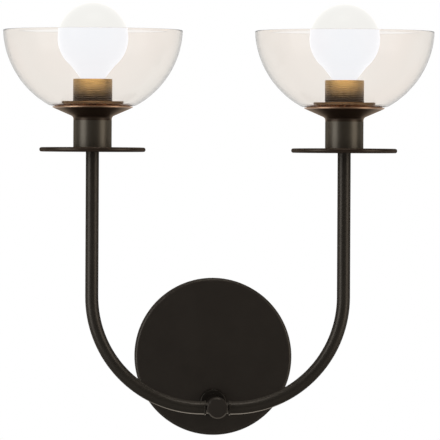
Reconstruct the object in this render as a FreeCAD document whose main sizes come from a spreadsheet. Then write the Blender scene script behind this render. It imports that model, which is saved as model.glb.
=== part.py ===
"""Double arm wall sconce: round canopy, U of two bent tubes, two glass bowls with globe lamps.

Millimetres. The wall is the plane Y = 0 and the front of the sconce faces -Y. +Z is up, and the
origin is the centre of the canopy's back rim. Every size is a named cell of the sheet "Dim",
and every outline, length and place below is bound to those cells.
"""
import FreeCAD
import Part
import Sketcher
import math
import os

SIZES = [
    # canopy and crossbar on the wall
    ("canopy_dia", 134.0, "outside diameter of the spun canopy"),
    ("canopy_depth", 22.0, "wall to the canopy's front face"),
    ("canopy_wall", 1.2, "sheet of the canopy"),
    ("canopy_edge", 2.6, "outside radius of the canopy's front edge"),
    ("strap_wide", 20.0, "width of the crossbar"),
    ("strap_thick", 1.8, "sheet of the crossbar"),
    ("strap_bend", 1.2, "inside radius where the crossbar's tabs are bent forward"),
    ("tab_deep", 16.0, "wall to the front end of a tab"),
    ("tab_gap", 0.3, "play between a tab and the canopy's rim"),
    ("box_spacing", 88.9, "spacing of the outlet box screws"),
    ("box_slot_wide", 5.0, "width of a slot for a box screw"),
    ("box_slot_long", 14.0, "length of a slot, end to end"),
    ("feed_dia", 12.7, "centre hole of the crossbar, for the supply wires"),
    ("earth_offset", 16.0, "earth screw to the crossbar's centre"),
    ("earth_dia", 4.8, "thread of the earth screw"),
    ("earth_head_dia", 9.0, "washer head of the earth screw"),
    ("earth_head_flats", 6.4, "hexagon of the earth screw"),
    ("earth_washer_thick", 0.8, "washer under the earth screw's hexagon"),
    ("earth_hexagon_tall", 2.4, "hexagon of the earth screw, off its washer"),
    ("earth_slot_wide", 1.2, "screwdriver slot of the earth screw"),
    ("earth_slot_deep", 1.2, "screwdriver slot of the earth screw"),
    ("grub_dia", 4.0, "headless screws that hold the canopy to the tabs"),
    ("grub_long", 7.0, "length of a headless screw"),
    ("grub_depth", 10.5, "wall to the axis of a headless screw"),
    ("grub_sunk", 0.3, "headless screw below the canopy's rim"),
    ("grub_slot_wide", 0.8, "screwdriver slot of a headless screw"),
    ("grub_slot_deep", 1.2, "screwdriver slot of a headless screw"),
    ("screw_play", 0.2, "radial play of a screw in a plain hole"),
    # stem and hub
    ("stem_inset", 28.0, "canopy's lowest point up to the stem's axis"),
    ("reach", 125.0, "wall to the plane of the arms"),
    ("stem_dia", 14.0, "outside diameter of the stem"),
    ("collar_dia", 23.0, "collar between canopy and stem"),
    ("collar_thick", 6.0, "thickness of that collar"),
    ("collar_round", 1.6, "front edge radius of that collar"),
    ("nipple_dia", 9.6, "threaded nipples"),
    ("nipple_bore", 6.4, "wireway of the nipples"),
    ("thread_play", 0.05, "radial play of a thread"),
    ("nipple_grip", 10.0, "length of nipple held in a tube"),
    ("nut_flats", 14.0, "hexagon of the nipple nuts"),
    ("nut_thick", 3.4, "thickness of the nipple nuts"),
    ("washer_dia", 18.0, "lock washer inside the canopy"),
    ("washer_thick", 1.0, "thickness of the lock washer"),
    ("thread_spare", 1.2, "nipple showing past its nut"),
    ("hub_dia", 17.4, "hub and its front cap"),
    ("hub_back", 9.5, "plane of the arms to the hub's back face"),
    ("hub_front", 8.5, "plane of the arms to the seat of the front cap"),
    ("hub_back_wall", 4.0, "metal between the hub's back face and its chamber"),
    ("hub_chamber_dia", 12.0, "wiring chamber of the hub"),
    ("cap_thick", 3.0, "front cap, outside the hub"),
    ("cap_spigot", 2.5, "front cap, inside the hub"),
    ("cap_bevel", 1.0, "bevel round the front cap"),
    ("boss_dia", 9.8, "side bosses of the hub"),
    ("boss_reach", 9.3, "hub axis to the end of a side boss"),
    ("ring_dia", 12.4, "small collar at the end of each arm"),
    ("ring_thick", 1.6, "thickness of that collar"),
    ("ring_bevel", 0.45, "bevels of that collar"),
    # arms
    ("arm_spacing", 210.0, "between the two lamp axes"),
    ("arm_dia", 11.0, "arm tube"),
    ("arm_bore", 8.2, "wireway of the arm tube"),
    ("arm_bend", 92.5, "centreline radius of the bend"),
    ("spigot_dia", 7.9, "turned end of the arm in the hub"),
    ("spigot_bore", 5.6, "wireway of the turned end"),
    ("spigot_long", 4.2, "turned end, past the small collar's outer face"),
    ("spigot_lap", 1.0, "turned end, inside the tube"),
    # holder stack on each arm
    ("disc_level", 174.0, "underside of the drip disc above the canopy's centre"),
    ("disc_dia", 88.4, "drip disc"),
    ("disc_thick", 3.6, "drip disc"),
    ("disc_edge_flat", 0.4, "upright flat left between the rounds of the disc's edge"),
    ("cup_dia", 32.0, "cup"),
    ("cup_tall", 22.5, "cup"),
    ("cup_wall", 1.2, "wall and floor of the cup"),
    ("dish_dia", 66.8, "seat dish"),
    ("dish_tall", 11.6, "seat dish, neck to rim"),
    ("dish_neck", 0.1, "straight neck left under the hollow of the dish"),
    ("dish_root", 3.0, "hollow radius between the neck and the cone"),
    ("dish_lip", 0.9, "thickness of the dish's rim"),
    ("dish_wall", 1.6, "thickness of the dish's cone"),
    ("dish_land", 4.0, "width of the flat seat along the dish's rim"),
    ("gasket_dia", 63.0, "gasket under the glass"),
    ("gasket_thick", 0.5, "gasket under the glass"),
    ("bowl_radius", 75.0, "outside radius of the glass bowl"),
    ("bowl_wall", 1.8, "glass"),
    ("bowl_over", 0.6, "flat bottom of the bowl, past the dish's rim"),
    ("bowl_corner", 6.0, "outside radius between the sphere and the flat bottom"),
    ("bowl_rim_drop", 2.8, "centre of the bowl's sphere to its rim"),
    ("bowl_rim_flat", 0.4, "flat left between the rounds of the bowl's rim"),
    ("bowl_hole_play", 0.8, "radial play of the bowl's hole on the sleeve"),
    ("shade_ring_dia", 51.5, "ring that holds the glass down"),
    ("shade_ring_thick", 2.0, "ring that holds the glass down"),
    ("shade_ring_gap", 0.2, "ring to glass"),
    ("shade_ring_round", 0.6, "upper edge radius of the ring"),
    ("sleeve_dia", 33.0, "threaded sleeve"),
    ("sleeve_wall", 1.5, "threaded sleeve"),
    ("sleeve_tall", 22.9, "threaded sleeve above the dish"),
    ("foot_dia", 28.0, "plain foot of the sleeve inside dish and cup"),
    ("foot_wall", 1.2, "plain foot of the sleeve"),
    ("foot_floor", 1.5, "floor of the sleeve's foot"),
    ("foot_play", 0.25, "radial play of the foot in the dish"),
    ("foot_lift", 0.3, "floor of the sleeve above the floor of the cup"),
    # lampholder
    ("strip_wide", 12.0, "strip that carries the lampholder"),
    ("strip_thick", 1.2, "strip that carries the lampholder"),
    ("strip_bend", 1.0, "inside bend radius of the strip"),
    ("strip_reach", 9.4, "lamp axis to the inside of the strip's upright"),
    ("strip_back", 8.0, "lamp axis to the free end of the strip's foot"),
    ("strip_tall", 27.0, "underside of the strip to its top"),
    ("holder_lift", 12.5, "underside of the strip to the lampholder's base"),
    ("holder_base_dia", 21.0, "lower part of the lampholder"),
    ("holder_base_tall", 20.4, "lower part of the lampholder"),
    ("holder_dia", 26.0, "upper part of the lampholder"),
    ("holder_tall", 16.2, "upper part of the lampholder"),
    ("holder_bevel", 1.2, "bevel round the lampholder's mouth"),
    ("shell_dia", 12.7, "screw shell, outside"),
    ("shell_wall", 0.4, "screw shell"),
    ("shell_sunk", 1.0, "screw shell below the lampholder's mouth"),
    ("shell_deep", 21.0, "length of the screw shell"),
    ("well_deep", 25.5, "depth of the lampholder's well"),
    ("tongue_wide", 4.0, "spring tongue in the well"),
    ("tongue_thick", 0.4, "spring tongue in the well"),
    ("tongue_foot", 2.1, "flat foot of the spring tongue"),
    ("tongue_slope", 2.1, "sloped part of the spring tongue, from foot to tip"),
    ("tongue_tip", 2.1, "flat tip of the spring tongue, past the lamp's axis"),
    ("tongue_tall", 2.6, "rise of the spring tongue's tip"),
    # lamp
    ("cap_play", 0.06, "radial play of the lamp's cap in the screw shell"),
    ("lamp_cap_tall", 17.0, "metal cap of the lamp"),
    ("lamp_cap_wall", 0.3, "metal cap of the lamp"),
    ("lamp_cap_turn_in", 1.2, "metal cap of the lamp, turned in at its foot"),
    ("lamp_gap", 0.3, "lamp contact above the spring tongue"),
    ("button_dia", 5.0, "lamp contact"),
    ("button_tall", 0.8, "lamp contact"),
    ("button_flat_dia", 3.0, "flat end of the lamp contact"),
    ("bead_tall", 2.0, "glass bead between the lamp's contact and cap"),
    ("globe_radius", 29.4, "globe of the lamp"),
    ("globe_wall", 0.9, "glass of the globe"),
    ("globe_level", 94.8, "globe centre above the underside of the drip disc"),
    ("neck_dia", 37.0, "lamp where its globe meets its tapered neck"),
    ("neck_hollow", 8.0, "hollow radius between globe and neck"),
    ("throat_dia", 10.0, "lamp where it enters its cap"),
    ("throat_long", 2.0, "straight throat above the cap"),
    # not a size of the part
    ("overcut", 1.0, "how far the outline of a cut runs past the surface that it opens"),
]

# Lengths in millimetres, or volumes, closer than this count as the same.
NEAR = 0.01

DOC = FreeCAD.newDocument("Sconce")
SHEET = DOC.addObject("Spreadsheet::Sheet", "Dim")
PARTS = []

# Places worked out from the sizes, as expressions. Heights in the holder stack count from
# the underside of the drip disc.
CANOPY_IN = "(Dim.canopy_dia / 2 - Dim.canopy_wall)"
# the flat tab's corners, half the strap's width off the middle, stay clear of the round rim
TAB_OUT = "sqrt((Dim.canopy_dia / 2 - Dim.canopy_wall - Dim.tab_gap) ^ 2 - (Dim.strap_wide / 2) ^ 2)"
TAB_IN = "(" + TAB_OUT + " - Dim.strap_thick)"
THREAD_DIA = "(Dim.nipple_dia + 2 * Dim.thread_play)"
STEM_DROP = "(Dim.canopy_dia / 2 - Dim.stem_inset)"
COLLAR_FRONT = "(Dim.canopy_depth + Dim.collar_thick)"
HUB_BACK = "(Dim.reach - Dim.hub_back)"
HUB_FRONT = "(Dim.reach + Dim.hub_front)"
RING_OUT = "(Dim.boss_reach + Dim.ring_thick)"
CUP_BASE = "Dim.disc_thick"
DISH_BASE = "(Dim.disc_thick + Dim.cup_tall)"
DISH_TOP = "(Dim.disc_thick + Dim.cup_tall + Dim.dish_tall)"
BOWL_BASE = "(Dim.disc_thick + Dim.cup_tall + Dim.dish_tall + Dim.gasket_thick)"
FOOT_BASE = "(Dim.disc_thick + Dim.cup_wall + Dim.foot_lift)"
STRIP_BASE = "(Dim.disc_thick + Dim.cup_wall + Dim.foot_lift + Dim.foot_floor)"
HOLDER_BASE = "(" + STRIP_BASE + " + Dim.holder_lift)"
HOLDER_TOP = "(" + HOLDER_BASE + " + Dim.holder_base_tall + Dim.holder_tall)"
WELL_FLOOR = "(" + HOLDER_TOP + " - Dim.well_deep)"
TONGUE_TOP = "(" + WELL_FLOOR + " + Dim.tongue_tall)"
BUTTON_BASE = "(" + TONGUE_TOP + " + Dim.lamp_gap)"
BEAD_BASE = "(" + BUTTON_BASE + " + Dim.button_tall)"
LAMP_CAP_BASE = "(" + BEAD_BASE + " + Dim.bead_tall)"
LAMP_CAP_RADIUS = "(Dim.shell_dia / 2 - Dim.shell_wall - Dim.cap_play)"
LAMP_CAP_MOUTH = "(" + LAMP_CAP_RADIUS + " - Dim.lamp_cap_turn_in)"


def fill_sheet():
    """Write each size as a plain number with its name, and say what it is beside it."""
    for row, (alias, size, meaning) in enumerate(SIZES, start=1):
        SHEET.set("A%d" % row, meaning)
        SHEET.set("B%d" % row, str(size))
        SHEET.setAlias("B%d" % row, alias)
    DOC.recompute()


def value(expression):
    """The number that an expression gives at the sheet's present sizes."""
    return float(SHEET.evalExpression(expression))


def new_body(name):
    """A body of its own for one piece, which is written out under its name."""
    body = DOC.addObject("PartDesign::Body", name)
    body.Label = name
    PARTS.append(body)
    return body


def place(body, x="0", y="0", z="0", turn=0):
    """Set the body down at a driven place, turned about +Z by a fixed number of degrees."""
    body.Placement = FreeCAD.Placement(FreeCAD.Vector(), FreeCAD.Rotation(FreeCAD.Vector(0, 0, 1), turn))
    for way, where in (("x", x), ("y", y), ("z", z)):
        body.setExpression("Placement.Base." + way, where)


def new_sketch(body, plane, name, lift=None):
    """A sketch on one of the body's own origin planes, or parallel to it at a driven height."""
    sketch = body.newObject("Sketcher::SketchObject", name)
    flat = [item for item in body.Origin.OriginFeatures if item.Role == plane][0]
    sketch.AttachmentSupport = [(flat, "")]
    sketch.MapMode = "FlatFace"
    if lift:
        sketch.setExpression("AttachmentOffset.Base.z", lift)
    return sketch


def hold(sketch, edge, end, x=None, y=None):
    """Hold a point of the sketch to the origin by driven distances, in one or both directions."""
    for kind, size, axis in (("DistanceX", x, -2), ("DistanceY", y, -1)):
        if size is None:
            continue
        if size == "0":
            sketch.addConstraint(Sketcher.Constraint("PointOnObject", edge, end, axis))
            continue
        index = sketch.addConstraint(Sketcher.Constraint(kind, -1, 1, edge, end, value(size)))
        sketch.setExpression("Constraints[%d]" % index, size)


def outline(sketch, corners, arcs=None):
    """Closed outline through the corners.

    A corner is (x, y), or (x, y, "x") or (x, y, "y") where only the named one is driven and an
    arc that ends there fixes the other.
    arcs maps the number of an edge to (centre x, centre y, "left" or "right"), the way it turns.
    """
    arcs = arcs or {}
    spots = [FreeCAD.Vector(value(corner[0]), value(corner[1]), 0) for corner in corners]
    ends = []
    for number, here in enumerate(spots):
        there = spots[(number + 1) % len(spots)]
        if number not in arcs:
            edge = sketch.addGeometry(Part.LineSegment(here, there), False)
            ends.append((edge, 1, 2))
            continue
        centre_x, centre_y, way = arcs[number]
        centre = FreeCAD.Vector(value(centre_x), value(centre_y), 0)
        first, last = (here, there) if way == "left" else (there, here)
        angles = [math.atan2(spot.y - centre.y, spot.x - centre.x) for spot in (first, last)]
        circle = Part.Circle(centre, FreeCAD.Vector(0, 0, 1), (here - centre).Length)
        edge = sketch.addGeometry(Part.ArcOfCircle(circle, angles[0], angles[1]), False)
        hold(sketch, edge, 3, centre_x, centre_y)
        ends.append((edge, 1, 2) if way == "left" else (edge, 2, 1))
    for number, (edge, start, end) in enumerate(ends):
        after, after_start, after_end = ends[(number + 1) % len(ends)]
        sketch.addConstraint(Sketcher.Constraint("Coincident", edge, end, after, after_start))
        corner = corners[number]
        driven = corner[2] if len(corner) == 3 else "xy"
        across = corner[0] if "x" in driven else None
        up = corner[1] if "y" in driven else None
        hold(sketch, edge, start, across, up)


def circle_in(sketch, x, y, radius):
    """A circle with a driven centre and radius."""
    centre = FreeCAD.Vector(value(x), value(y), 0)
    edge = sketch.addGeometry(Part.Circle(centre, FreeCAD.Vector(0, 0, 1), value(radius)), False)
    hold(sketch, edge, 3, x, y)
    index = sketch.addConstraint(Sketcher.Constraint("Radius", edge, value(radius)))
    sketch.setExpression("Constraints[%d]" % index, radius)


def hexagon_in(sketch, flats):
    """A regular hexagon round the sketch's origin, with two flats upright."""
    half = "(%s / 2)" % flats
    corner = "(%s / 2 / cos(30))" % flats
    rise = "(%s * sin(30))" % corner
    outline(sketch, [
        (half, rise), ("0", corner), ("-" + half, rise),
        ("-" + half, "-" + rise), ("0", "-" + corner), (half, "-" + rise)])


def revolve(body, sketch, axis, name):
    """Turn a half outline about one of the sketch's own axes."""
    turned = body.newObject("PartDesign::Revolution", name)
    turned.Profile = sketch
    turned.ReferenceAxis = (sketch, [axis])
    turned.Angle = 360
    DOC.recompute()
    return turned


def pad(body, sketch, length, name, symmetric=False, flip=False):
    """Raise an outline by a driven length, to one side or equally to both."""
    raised = body.newObject("PartDesign::Pad", name)
    raised.Profile = sketch
    raised.setExpression("Length", length)
    raised.SideType = "Symmetric" if symmetric else "One side"
    raised.Reversed = flip
    DOC.recompute()
    return raised


def cut(body, sketch, name, length=None, flip=False):
    """Cut an outline through the whole piece, or to a driven depth, and see that it removed metal."""
    before = body.Shape.Volume
    pocket = body.newObject("PartDesign::Pocket", name)
    pocket.Profile = sketch
    if length:
        pocket.setExpression("Length", length)
        pocket.Reversed = flip
    else:
        pocket.Type = "ThroughAll"
        pocket.SideType = "Symmetric"
    DOC.recompute()
    if body.Shape.Volume > before - NEAR:
        raise ValueError(name + " cuts nothing")
    return pocket


def dress(body, kind, size, wanted, name):
    """Round or bevel the edges of the body that the test picks."""
    base = body.Tip
    edges = base.Shape.Edges
    picked = ["Edge%d" % number for number, edge in enumerate(edges, start=1) if wanted(edge)]
    if not picked:
        raise ValueError(name + " finds no edge")
    feature = body.newObject("PartDesign::" + kind, name)
    feature.Base = (base, picked)
    feature.setExpression("Radius" if kind == "Fillet" else "Size", size)
    DOC.recompute()
    return feature


def is_circle(edge, radius):
    """True for a full or part circle of about that radius."""
    if edge.Degenerated:
        return False
    curve = edge.Curve
    return isinstance(curve, Part.Circle) and abs(curve.Radius - radius) < NEAR


def local_centre(body, edge):
    """Centre of a circular edge in the body's own frame."""
    return body.Placement.inverse().multVec(edge.Curve.Center)


def tube(name, plane, axis, inner, outer, low, high):
    """A plain round piece with a bore, as a revolved rectangle."""
    body = new_body(name)
    sketch = new_sketch(body, plane, name + "_outline")
    if axis == "H_Axis":
        corners = [(low, inner), (high, inner), (high, outer), (low, outer)]
    else:
        corners = [(inner, low), (outer, low), (outer, high), (inner, high)]
    outline(sketch, corners)
    revolve(body, sketch, axis, name + "_turned")
    return body


# ---------------------------------------------------------------- wall side

def wall_bracket():
    """Crossbar: a flat strap on the outlet box with a tab bent forward at each end."""
    body = new_body("wall_bracket")
    section = new_sketch(body, "XY_Plane", "strap_section")
    far = "-Dim.tab_deep"
    front = "-Dim.strap_thick"
    outline(section, [
        ("-" + TAB_OUT, "0"), (TAB_OUT, "0"), (TAB_OUT, far), (TAB_IN, far),
        (TAB_IN, front), ("-" + TAB_IN, front), ("-" + TAB_IN, far), ("-" + TAB_OUT, far)])
    pad(body, section, "Dim.strap_wide", "strap_bent", symmetric=True)
    inside = value(TAB_IN)
    outside = value(TAB_OUT)

    def at_bend(edge, across, deep):
        middle = edge.CenterOfMass
        upright = abs(edge.BoundBox.ZLength - value("Dim.strap_wide")) < NEAR
        return upright and abs(abs(middle.x) - across) < NEAR and abs(middle.y - deep) < NEAR

    dress(body, "Fillet", "Dim.strap_bend",
          lambda edge: at_bend(edge, inside, value(front)), "bend_inside")
    dress(body, "Fillet", "Dim.strap_bend + Dim.strap_thick",
          lambda edge: at_bend(edge, outside, 0.0), "bend_outside")
    holes = new_sketch(body, "XZ_Plane", "strap_holes")
    circle_in(holes, "0", "0", "Dim.feed_dia / 2")
    circle_in(holes, "-Dim.earth_offset", "0", "(Dim.earth_dia / 2 + Dim.thread_play)")
    for sign in ("-", ""):
        slot_in(holes, sign + "Dim.box_spacing / 2", "Dim.box_slot_long", "Dim.box_slot_wide")
    cut(body, holes, "strap_holes_cut")
    tapped = new_sketch(body, "YZ_Plane", "tab_holes")
    circle_in(tapped, "-Dim.grub_depth", "0", "(Dim.grub_dia / 2 + Dim.thread_play)")
    cut(body, tapped, "tab_holes_cut")
    place(body)


def slot_in(sketch, x, length, width):
    """A slot with round ends, lying along the sketch's horizontal direction."""
    reach = "((%s - %s) / 2)" % (length, width)
    half = "(%s / 2)" % width
    left, right = "(%s - %s)" % (x, reach), "(%s + %s)" % (x, reach)
    outline(sketch, [(left, "-" + half), (right, "-" + half), (right, half, "x"), (left, half, "x")],
            {1: (right, "0", "left"), 3: (left, "0", "left")})


def ground_screw():
    """Earth screw: slotted hexagon head on a washer, screwed flush into the crossbar."""
    body = new_body("ground_screw")
    washer = "(Dim.strap_thick + Dim.earth_washer_thick)"
    top = "(%s + Dim.earth_hexagon_tall)" % washer
    shank = new_sketch(body, "YZ_Plane", "screw_outline")
    outline(shank, [
        ("0", "0"), ("0", "Dim.earth_dia / 2"), ("-Dim.strap_thick", "Dim.earth_dia / 2"),
        ("-Dim.strap_thick", "Dim.earth_head_dia / 2"), ("-" + washer, "Dim.earth_head_dia / 2"),
        ("-" + washer, "0")])
    revolve(body, shank, "H_Axis", "screw_turned")
    head = new_sketch(body, "XZ_Plane", "screw_head", lift=washer)
    hexagon_in(head, "Dim.earth_head_flats")
    pad(body, head, "Dim.earth_hexagon_tall", "screw_hexagon")
    slot = new_sketch(body, "XY_Plane", "screw_slot")
    half = "(Dim.earth_slot_wide / 2)"
    floor = "-(%s - Dim.earth_slot_deep)" % top
    past = "-(%s + Dim.overcut)" % top
    outline(slot, [("-" + half, floor), (half, floor), (half, past), ("-" + half, past)])
    cut(body, slot, "screw_slot_cut")
    place(body, x="-Dim.earth_offset")


def canopy():
    """Canopy: a spun pan, open to the wall, with a hole for the stem nipple and two in the rim."""
    body = new_body("canopy")
    pan = new_sketch(body, "YZ_Plane", "canopy_outline")
    rim = "Dim.canopy_dia / 2"
    corner = "(Dim.canopy_dia / 2 - Dim.canopy_edge)"
    face_start = "-(Dim.canopy_depth - Dim.canopy_edge)"
    skin = "-(Dim.canopy_depth - Dim.canopy_wall)"
    outline(pan, [
        ("0", CANOPY_IN), ("0", rim), (face_start, rim), ("-Dim.canopy_depth", corner, "y"),
        ("-Dim.canopy_depth", "0"), (skin, "0"), (skin, corner), (face_start, CANOPY_IN, "x")],
        {2: (face_start, corner, "left"), 6: (face_start, corner, "right")})
    revolve(body, pan, "H_Axis", "canopy_spun")
    stem_hole = new_sketch(body, "XZ_Plane", "stem_hole")
    circle_in(stem_hole, "0", "-" + STEM_DROP, "(Dim.nipple_dia / 2 + Dim.screw_play)")
    cut(body, stem_hole, "stem_hole_cut")
    rim_holes = new_sketch(body, "YZ_Plane", "rim_holes")
    circle_in(rim_holes, "-Dim.grub_depth", "0", "(Dim.grub_dia / 2 + Dim.screw_play)")
    cut(body, rim_holes, "rim_holes_cut")
    place(body)


def canopy_screw(name, turn):
    """Headless screw through the canopy's rim into a tab of the crossbar."""
    body = new_body(name)
    outer = "(Dim.canopy_dia / 2 - Dim.grub_sunk)"
    inner = "(Dim.canopy_dia / 2 - Dim.grub_sunk - Dim.grub_long)"
    shank = new_sketch(body, "XZ_Plane", name + "_outline")
    outline(shank, [(inner, "0"), (outer, "0"), (outer, "Dim.grub_dia / 2"), (inner, "Dim.grub_dia / 2")])
    revolve(body, shank, "H_Axis", name + "_turned")
    slot = new_sketch(body, "XY_Plane", name + "_slot")
    floor = "(%s - Dim.grub_slot_deep)" % outer
    past = "(%s + Dim.overcut)" % outer
    half = "(Dim.grub_slot_wide / 2)"
    outline(slot, [(floor, "-" + half), (past, "-" + half), (past, half), (floor, half)])
    cut(body, slot, name + "_slot_cut")
    place(body, y="-Dim.grub_depth", turn=turn)


# ------------------------------------------------------------- stem and hub

def nipple_nut(name, plane, low):
    """Hexagon nut on a nipple, standing on the given level of the plane's normal."""
    body = new_body(name)
    blank = new_sketch(body, plane, name + "_outline", lift=low)
    hexagon_in(blank, "Dim.nut_flats")
    circle_in(blank, "0", "0", THREAD_DIA + " / 2")
    pad(body, blank, "Dim.nut_thick", name + "_blank")
    return body


def stem_line():
    """Everything on the stem's axis, from the nut inside the canopy to the hub's front cap."""
    inside = "(Dim.canopy_depth - Dim.canopy_wall)"
    behind_washer = "(%s - Dim.washer_thick)" % inside
    behind_nut = "(%s - Dim.nut_thick)" % behind_washer
    bore = THREAD_DIA + " / 2"
    nipple_start = "-(%s - Dim.thread_spare)" % behind_nut
    nipple_end = "-(%s + Dim.nipple_grip)" % COLLAR_FRONT
    pieces = [
        tube("stem_nipple", "YZ_Plane", "H_Axis", "Dim.nipple_bore / 2", "Dim.nipple_dia / 2",
             nipple_start, nipple_end),
        nipple_nut("stem_nut", "XZ_Plane", behind_nut),
        tube("stem_washer", "YZ_Plane", "H_Axis", "(Dim.nipple_dia / 2 + Dim.screw_play)",
             "Dim.washer_dia / 2", "-" + behind_washer, "-" + inside),
        tube("stem_collar", "YZ_Plane", "H_Axis", bore, "Dim.collar_dia / 2",
             "-Dim.canopy_depth", "-" + COLLAR_FRONT),
        tube("stem", "YZ_Plane", "H_Axis", bore, "Dim.stem_dia / 2", "-" + COLLAR_FRONT, "-" + HUB_BACK),
        tube("hub_nipple", "YZ_Plane", "H_Axis", "Dim.nipple_bore / 2", "Dim.nipple_dia / 2",
             "-(%s - Dim.nipple_grip)" % HUB_BACK, "-(%s + Dim.hub_back_wall)" % HUB_BACK),
        hub(),
        hub_cap(),
    ]
    collar = pieces[3]
    front = -value(COLLAR_FRONT)
    dress(collar, "Fillet", "Dim.collar_round",
          lambda edge: is_circle(edge, value("Dim.collar_dia / 2"))
          and abs(local_centre(collar, edge).y - front) < NEAR, "collar_rounded")
    for piece in pieces:
        place(piece, z="-" + STEM_DROP)


def hub():
    """Hub: a turned block with a wiring chamber, open in front, and a boss for each arm."""
    body = new_body("hub")
    block = new_sketch(body, "YZ_Plane", "hub_outline")
    floor = "-(%s + Dim.hub_back_wall)" % HUB_BACK
    outline(block, [
        ("-" + HUB_BACK, THREAD_DIA + " / 2"), ("-" + HUB_BACK, "Dim.hub_dia / 2"),
        ("-" + HUB_FRONT, "Dim.hub_dia / 2"), ("-" + HUB_FRONT, "Dim.hub_chamber_dia / 2"),
        (floor, "Dim.hub_chamber_dia / 2"), (floor, THREAD_DIA + " / 2")])
    revolve(body, block, "H_Axis", "hub_turned")
    bosses = new_sketch(body, "YZ_Plane", "hub_bosses")
    circle_in(bosses, "-Dim.reach", "0", "Dim.boss_dia / 2")
    pad(body, bosses, "2 * Dim.boss_reach", "hub_bosses_raised", symmetric=True)
    chamber = new_sketch(body, "XZ_Plane", "hub_chamber", lift="(%s + Dim.hub_back_wall)" % HUB_BACK)
    circle_in(chamber, "0", "0", "Dim.hub_chamber_dia / 2")
    depth = "(%s - %s - Dim.hub_back_wall)" % (HUB_FRONT, HUB_BACK)
    cut(body, chamber, "hub_chamber_cleared", depth, flip=True)
    wireway = new_sketch(body, "YZ_Plane", "hub_wireway")
    circle_in(wireway, "-Dim.reach", "0", "(Dim.spigot_dia / 2 + Dim.thread_play)")
    cut(body, wireway, "hub_wireway_cut")
    return body


def hub_cap():
    """Front cap of the hub: flat face, bevelled edge, spigot in the chamber."""
    body = new_body("hub_cap")
    half = new_sketch(body, "YZ_Plane", "hub_cap_outline")
    spigot = "(Dim.hub_chamber_dia / 2 - Dim.thread_play)"
    back = "-(%s - Dim.cap_spigot)" % HUB_FRONT
    front = "-(%s + Dim.cap_thick)" % HUB_FRONT
    bevel = "-(%s + Dim.cap_thick - Dim.cap_bevel)" % HUB_FRONT
    outline(half, [
        (back, "0"), (back, spigot), ("-" + HUB_FRONT, spigot), ("-" + HUB_FRONT, "Dim.hub_dia / 2"),
        (bevel, "Dim.hub_dia / 2"), (front, "(Dim.hub_dia / 2 - Dim.cap_bevel)"), (front, "0")])
    revolve(body, half, "H_Axis", "hub_cap_turned")
    return body


# --------------------------------------------------------------------- arms

def arm_collar(name, turn):
    """Small bevelled ring between a boss of the hub and the end of an arm."""
    body = new_body(name)
    half = new_sketch(body, "XZ_Plane", name + "_outline")
    bore = "(Dim.spigot_dia / 2 + Dim.thread_play)"
    rim = "Dim.ring_dia / 2"
    shoulder = "(Dim.ring_dia / 2 - Dim.ring_bevel)"
    outline(half, [
        ("Dim.boss_reach", bore), (RING_OUT, bore), (RING_OUT, shoulder),
        ("(%s - Dim.ring_bevel)" % RING_OUT, rim), ("(Dim.boss_reach + Dim.ring_bevel)", rim),
        ("Dim.boss_reach", shoulder)])
    revolve(body, half, "H_Axis", name + "_turned")
    place(body, y="-Dim.reach", z="-" + STEM_DROP, turn=turn)


def arm(name, turn):
    """Arm: a tube from the hub, bent up through a quarter circle, tapped at its top end."""
    body = new_body(name)
    across = "(Dim.arm_spacing / 2)"
    bend_start = "(Dim.arm_spacing / 2 - Dim.arm_bend)"
    top = "(Dim.disc_level + %s)" % STEM_DROP
    route = new_sketch(body, "XZ_Plane", name + "_route")
    start = FreeCAD.Vector(value(RING_OUT), 0, 0)
    bend_in = FreeCAD.Vector(value(bend_start), 0, 0)
    bend_out = FreeCAD.Vector(value(across), value("Dim.arm_bend"), 0)
    finish = FreeCAD.Vector(value(across), value(top), 0)
    centre = FreeCAD.Vector(bend_in.x, bend_out.y, 0)
    circle = Part.Circle(centre, FreeCAD.Vector(0, 0, 1), value("Dim.arm_bend"))
    route.addGeometry(Part.LineSegment(start, bend_in), False)
    route.addGeometry(Part.ArcOfCircle(circle, -math.pi / 2, 0), False)
    route.addGeometry(Part.LineSegment(bend_out, finish), False)
    route.addConstraint(Sketcher.Constraint("Coincident", 0, 2, 1, 1))
    route.addConstraint(Sketcher.Constraint("Coincident", 1, 2, 2, 1))
    hold(route, 0, 1, RING_OUT, "0")
    hold(route, 0, 2, bend_start, "0")
    hold(route, 1, 3, bend_start, "Dim.arm_bend")
    hold(route, 1, 2, None, "Dim.arm_bend")
    hold(route, 2, 2, across, top)
    ring = new_sketch(body, "YZ_Plane", name + "_section", lift=RING_OUT)
    circle_in(ring, "0", "0", "Dim.arm_dia / 2")
    circle_in(ring, "0", "0", "Dim.arm_bore / 2")
    pipe = body.newObject("PartDesign::AdditivePipe", name + "_bent")
    pipe.Profile = ring
    pipe.Spine = (route, ["Edge1", "Edge2", "Edge3"])
    DOC.recompute()
    spigot = new_sketch(body, "XZ_Plane", name + "_spigot")
    tip = "(%s - Dim.spigot_long)" % RING_OUT
    root = "(%s + Dim.spigot_lap)" % RING_OUT
    # the middle of the tube's wall
    wall = "((Dim.arm_bore + Dim.arm_dia) / 4)"
    outline(spigot, [
        (tip, "Dim.spigot_bore / 2"), (root, "Dim.spigot_bore / 2"), (root, wall),
        (RING_OUT, wall), (RING_OUT, "Dim.spigot_dia / 2"), (tip, "Dim.spigot_dia / 2")])
    revolve(body, spigot, "H_Axis", name + "_spigot_turned")
    tapped = new_sketch(body, "XY_Plane", name + "_tapped", lift="(%s - Dim.nipple_grip)" % top)
    circle_in(tapped, across, "0", THREAD_DIA + " / 2")
    cut(body, tapped, name + "_tapped_cut", "(Dim.nipple_grip + Dim.overcut)", flip=True)
    place(body, y="-Dim.reach", z="-" + STEM_DROP, turn=turn)


# ------------------------------------------------- holder stack on each arm

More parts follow.
